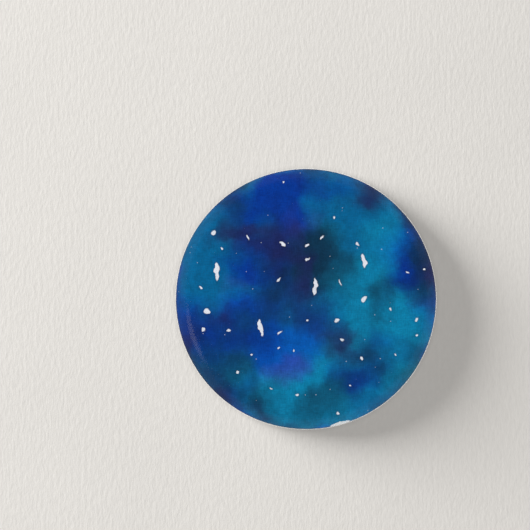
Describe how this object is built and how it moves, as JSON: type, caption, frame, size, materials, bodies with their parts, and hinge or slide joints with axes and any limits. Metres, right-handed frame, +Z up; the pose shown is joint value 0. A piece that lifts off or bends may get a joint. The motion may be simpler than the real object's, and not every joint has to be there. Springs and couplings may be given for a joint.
{
  "type": "button badge",
  "caption": "Round pin-back button badge: domed printed face under clear film, pressed tinplate back, and a spring-wire pin whose needle swings out of its clasp.",
  "frame": {"origin": "centre of the badge on the plane that its back bead rests on, which is the cloth's plane", "axes": "worn upright: -Y out of the printed face, +Y into the cloth, +Z up the artwork, +X towards the clasp"},
  "size_m": [0.032, 0.0051, 0.032],
  "materials": {
    "shell_tinplate": "rolled tinplate",
    "printed_paper": "printed watercolour night sky",
    "clear_film": "clear gloss film",
    "back_tinplate": "bright rolled tinplate with a fine straight grain",
    "spring_wire": "bright nickel-plated wire"
  },
  "bodies": {
    "badge": {"front_shell": "shell_tinplate", "printed_paper": "printed_paper", "clear_film": "clear_film", "back_plate": "back_tinplate", "pin_wire": "spring_wire"},
    "needle": {"pin_needle": "spring_wire"}
  },
  "joints": [
    {"name": "needle_swing", "type": "hinge", "parent": "badge", "child": "needle", "pos_m": [-0.0105, -0.00125, -0.00095], "axis": [0.8459, 0.5245, -0.0965], "range_deg": [0, 90]}
  ]
}
